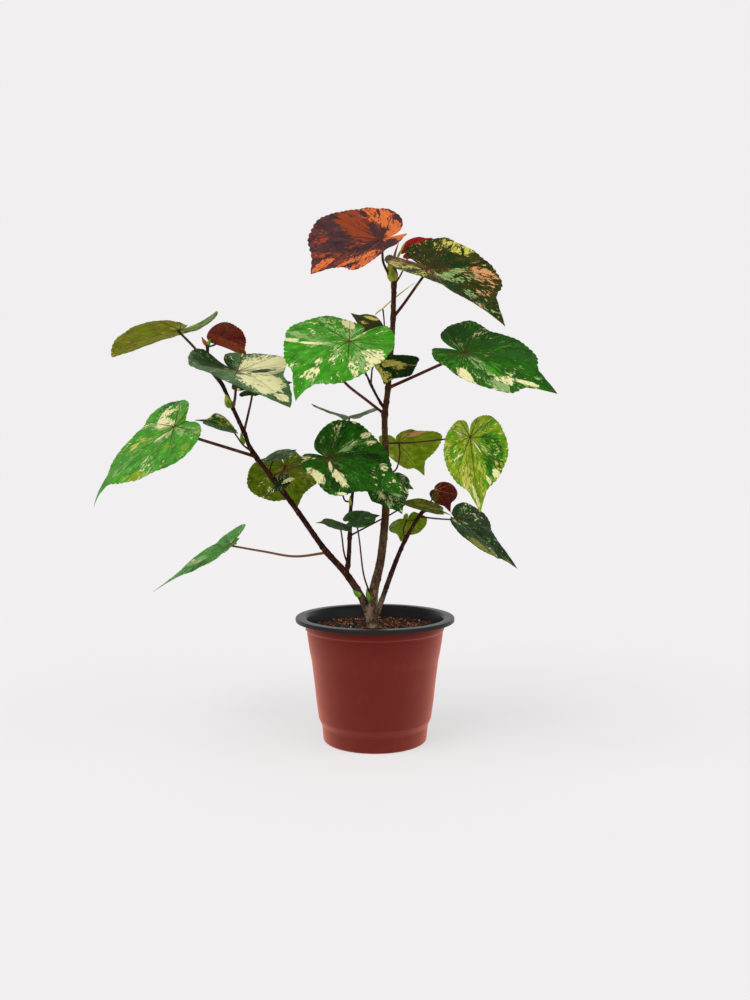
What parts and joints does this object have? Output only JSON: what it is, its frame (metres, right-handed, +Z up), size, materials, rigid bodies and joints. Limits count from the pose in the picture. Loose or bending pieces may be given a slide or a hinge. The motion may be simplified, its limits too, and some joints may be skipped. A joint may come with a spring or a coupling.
{
  "type": "potted variegated hibiscus shrub",
  "caption": "Small variegated hibiscus shrub with heart-shaped green, cream and orange leaves on thin stems, in a round red-brown nursery pot with bark mix",
  "frame": {"origin": "centre of the pot's flat underside", "axes": "+Z up along the pot's axis, -Y toward the viewer of the picture, +X to the viewer's right"},
  "size_m": [0.5026, 0.3009, 0.6024],
  "materials": {
    "pot_clay": "satin",
    "pot_black": "satin",
    "potting_mix": "rough bark chips",
    "bark": "rough",
    "shoot": "smooth young bark",
    "leaf_green": "satin leaf",
    "leaf_dark": "satin leaf",
    "leaf_pale": "matte leaf",
    "leaf_cream": "satin leaf",
    "leaf_olive": "satin leaf",
    "leaf_orange": "satin leaf",
    "leaf_red": "satin leaf"
  },
  "bodies": {
    "root": {"pot_shell": "pot_clay", "pot_liner": "pot_black", "potting_mix": "potting_mix", "trunk": "bark", "left_bough": "bark", "left_bough_tip": "shoot", "inner_shoot": "shoot", "right_shoot": "shoot", "upper_twig": "shoot", "leaf_crown_orange": "leaf_orange", "leaf_crown_right": "leaf_dark", "leaf_crown_red": "leaf_red", "leaf_crown_edge": "leaf_olive", "leaf_upper_front": "leaf_green", "leaf_upper_back": "leaf_olive", "leaf_upper_folded": "leaf_olive", "leaf_right_upper": "leaf_green", "leaf_middle_back": "leaf_pale", "leaf_middle_front": "leaf_dark", "leaf_middle_right": "leaf_olive", "leaf_right_hanging": "leaf_olive", "leaf_middle_drooping": "leaf_dark", "leaf_middle_cream": "leaf_cream", "leaf_right_olive": "leaf_olive", "leaf_right_red": "leaf_red", "leaf_right_dark": "leaf_dark", "leaf_right_small": "leaf_pale", "leaf_low_left": "leaf_green", "leaf_low_right": "leaf_green", "leaf_left_top": "leaf_olive", "leaf_left_red": "leaf_red", "leaf_left_grey": "leaf_pale", "leaf_left_under": "leaf_dark", "leaf_left_inner": "leaf_dark", "leaf_left_outer": "leaf_green", "leaf_left_flat": "leaf_pale", "leaf_left_back": "leaf_olive", "leaf_left_small": "leaf_dark", "leaf_left_low": "leaf_green"}
  },
  "joints": []
}
